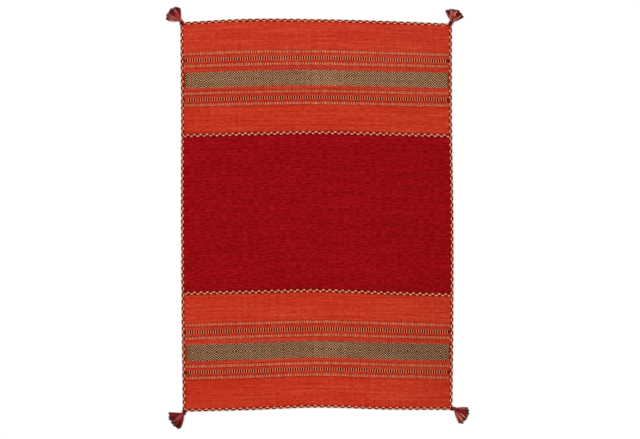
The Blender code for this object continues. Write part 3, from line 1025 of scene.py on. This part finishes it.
def lock_yarns(tie, heading_degrees, half_spread, reaches, wools, rng, yarn_rng, wool_rng):
    """Every yarn of a tassel's locks, twisted together lock by lock and fanned out on the floor."""
    tassel_turn = math.radians(heading_degrees)
    across = sideways(level_way(np.array(tassel_turn)))
    room = math.radians(2 * half_spread) / LOCK_COLUMNS
    share = np.linspace(0.0, 1.0, LOCK_YARN_RINGS)
    bend_phase = rng.uniform(0, 2 * math.pi)
    yarns = []
    for layer, (underside, reach_share, turn) in enumerate(LOCK_LAYERS):
        for number in range(LOCK_COLUMNS):
            side, up = (number + 0.5) / LOCK_COLUMNS * 2 - 1, layer - 0.5
            jitter = math.radians(rng.uniform(-LOCK_JITTER_DEGREES, LOCK_JITTER_DEGREES))
            side_turn = math.radians(side * half_spread) + turn * room
            wave = math.sin(bend_phase + LOCK_BEND_WAVES * side + up)
            end_turn = math.radians(LOCK_BEND_DEGREES) * wave + jitter
            reach = through_stations(reaches, (side + 1) / 2) * MM * reach_share
            reach *= 1 - rng.uniform(0, LOCK_JITTER_REACH)
            spread = HEAD_SPREAD - (HEAD_SPREAD - 1) * share
            angle = tassel_turn + side_turn * spread + end_turn * share**2
            root_up = BUNDLE_MIDDLE_MM + BUNDLE_LAYER_STEP_MM * up
            root = np.array((*(across * side * BUNDLE_HALF_WIDTH_MM), root_up)) * MM
            # A lower lock keeps one colour, and an upper one changes its colour on its way
            inner = drawn_colour(wools[layer], wool_rng)
            outer = drawn_colour(wools[layer], wool_rng) if layer else inner
            shades = lock_shades(inner, outer)
            twist = yarn_rng.uniform(0, 2 * math.pi)
            for yarn in range(YARNS_PER_LOCK):
                own_reach = reach * yarn_rng.uniform(*LOCK_YARN_REACH)
                own_turn = math.radians(yarn_rng.uniform(-LOCK_YARN_DEGREES, LOCK_YARN_DEGREES))
                turned = twist + 2 * math.pi * (yarn / YARNS_PER_LOCK + share * LOCK_TWISTS)
                own_angle = angle + own_turn * share**2
                line, radii = lock_yarn(tie, own_angle, root, own_reach, underside * MM, turned)
                yarns.append((line, radii, shades * yarn_rng.uniform(*LOCK_YARN_SHADES)))
    return yarns


def even_yarn(spot, height, radius, shade):
    """A yarn of one thickness and one colour, from its places on the floor plan and their heights."""
    level = np.ones(LOCK_YARN_RINGS)
    return np.concatenate((spot, height[:, None]), axis=1), radius * level, np.outer(level, shade)


def neck_yarns(base, way_out, tie, heading_degrees, wools, yarn_rng, wool_rng):
    """The yarns of the neck, from the braid to the tie, and the thread wound round it."""
    heading = level_way(np.array(math.radians(heading_degrees)))
    back = np.linspace(0.0, 1.0, LOCK_YARN_RINGS)
    share = back[:, None]
    bend = base + way_out * np.linalg.norm(tie - base) / 2
    forward = unit(heading * (1 - share) + way_out * share)
    middle = tie * (1 - share) ** 2 + bend * 2 * share * (1 - share) + base * share**2
    middle = middle + forward * (1 - share) * NECK_PAST_TIE_MM * MM
    half_width = through_stations(NECK_HALF_WIDTHS_MM, back) * MM
    half_height = through_stations(NECK_HALF_HEIGHTS_MM, back) * MM
    yarns = []
    for yarn in range(NECK_YARNS):
        turn = 2 * math.pi * yarn / NECK_YARNS + back * NECK_TWIST
        spot = middle + sideways(forward) * (half_width * np.cos(turn))[:, None]
        height = half_height * (1 + np.sin(turn)) + NECK_LIFT_MM * MM
        shade = drawn_colour(wools, wool_rng) * yarn_rng.uniform(*NECK_YARN_SHADES)
        yarns.append(even_yarn(spot, height, NECK_YARN_RADIUS, shade))
    turn = np.linspace(0, 2 * math.pi, LOCK_YARN_RINGS)
    for coil in range(TIE_TURNS):
        forth = (TIE_START_MM - TIE_STEP_MM * (coil + turn / (2 * math.pi))) * MM
        beside = TIE_HALF_WIDTH_MM * MM * np.cos(turn)
        spot = tie + heading * forth[:, None] + sideways(heading) * beside[:, None]
        height = (TIE_MIDDLE_MM + TIE_HALF_HEIGHT_MM * np.sin(turn)) * MM
        yarns.append(even_yarn(spot, height, TIE_RADIUS, yarn_colour(TIE_WOOL) * TIE_SHADE))
    return yarns


def binding_yarns(base, way_out, turns, yarn_rng):
    """The turns of yarn that sew a neck on, over the end of its braid and onto the next braid."""
    inward = sideways(way_out) * -np.sign(np.dot(sideways(way_out), base))
    turn = np.linspace(0, math.pi, LOCK_YARN_RINGS)
    beside = (BINDING_MIDDLE_MM - BINDING_HALF_WIDTH_MM * np.cos(turn)) * MM
    arch = np.clip(np.sin(turn), 0, 1) ** BINDING_ROUNDING
    height = (BINDING_FOOT_MM + BINDING_HEIGHT_MM * arch) * MM
    shade = yarn_colour(BINDING_WOOL)
    yarns = []
    for number in range(turns):
        back = (BINDING_START_MM + BINDING_STEP_MM * number) * MM
        spot = base - way_out * back + inward * beside[:, None]
        yarns.append(even_yarn(spot, height, BINDING_RADIUS, shade * yarn_rng.uniform(*BINDING_SHADES)))
    return yarns


def all_tassels(material):
    rng = random.Random(LOCK_SEED)
    yarn_rng = random.Random(LOCK_YARN_SEED)
    wool_rng = random.Random(WOOL_SEED)
    made = []
    for name, (edge, corner), tie_offset, heading, half_spread, reaches in TASSELS:
        end_middle, way_out = braid_end(edge, corner)
        base = end_middle + way_out * GAP
        tie = end_middle + np.array(tie_offset) * MM
        wools = TASSEL_WOOLS[name]
        yarns = lock_yarns(tie, heading, half_spread, reaches, wools, rng, yarn_rng, wool_rng)
        yarns += neck_yarns(base, way_out, tie, heading, wools[2], yarn_rng, wool_rng)
        yarns += binding_yarns(base, way_out, BINDING_TURNS[name], yarn_rng)
        mesh = yarn_mesh(f"{name}_yarns", *(np.array(item) for item in zip(*yarns)))
        made.append(add_piece(mesh, name, material))
    return made


# The studio


def add_floor():
    mesh = bpy.data.meshes.new("floor")
    corners = [(x * FLOOR_HALF, y * FLOOR_HALF, 0) for x, y in ((-1, -1), (1, -1), (1, 1), (-1, 1))]
    mesh.from_pydata(corners, [], [(0, 1, 2, 3)])
    material = bpy.data.materials.new("floor")
    material.use_nodes = True
    shader = material.node_tree.nodes["Principled BSDF"]
    shader.inputs["Base Color"].default_value = linear(FLOOR_LEVELS)
    shader.inputs["Roughness"].default_value = FLOOR_ROUGHNESS
    shader.inputs["Specular IOR Level"].default_value = FLOOR_SPECULAR
    mesh.materials.append(material)
    floor = bpy.data.objects.new("floor", mesh)
    floor.location.z = -FLOOR_DROP
    bpy.context.scene.collection.objects.link(floor)


def add_lamp(name, place, size, power):
    data = bpy.data.lights.new(name, "AREA")
    data.shape = "DISK"
    data.size = size
    data.energy = power
    lamp = bpy.data.objects.new(name, data)
    lamp.location = place
    lamp.rotation_euler = (-lamp.location).to_track_quat("-Z", "Y").to_euler()
    bpy.context.scene.collection.objects.link(lamp)


def add_studio():
    scene = bpy.context.scene
    scene.view_settings.view_transform = "Standard"
    scene.view_settings.look = "None"
    world = bpy.data.worlds.new("studio")
    world.use_nodes = True
    background = world.node_tree.nodes["Background"]
    background.inputs["Color"].default_value = (1.0, 1.0, 1.0, 1.0)
    background.inputs["Strength"].default_value = WORLD_STRENGTH
    scene.world = world
    for lamp in LAMPS:
        add_lamp(*lamp)
    data = bpy.data.cameras.new("camera")
    data.lens = CAMERA_LENS
    data.sensor_width = SENSOR_WIDTH
    camera = bpy.data.objects.new("camera", data)
    camera.location = CAMERA_PLACE
    scene.collection.objects.link(camera)
    scene.camera = camera


add_studio()
add_floor()
cloth = field_cloth(weave_looks())
braids = all_braids(yarn_looks("braid_wool", BRAID_PLIES), random.Random(BRAID_SEED))
tassels = all_tassels(yarn_looks("tassel_wool", TASSEL_PLIES))
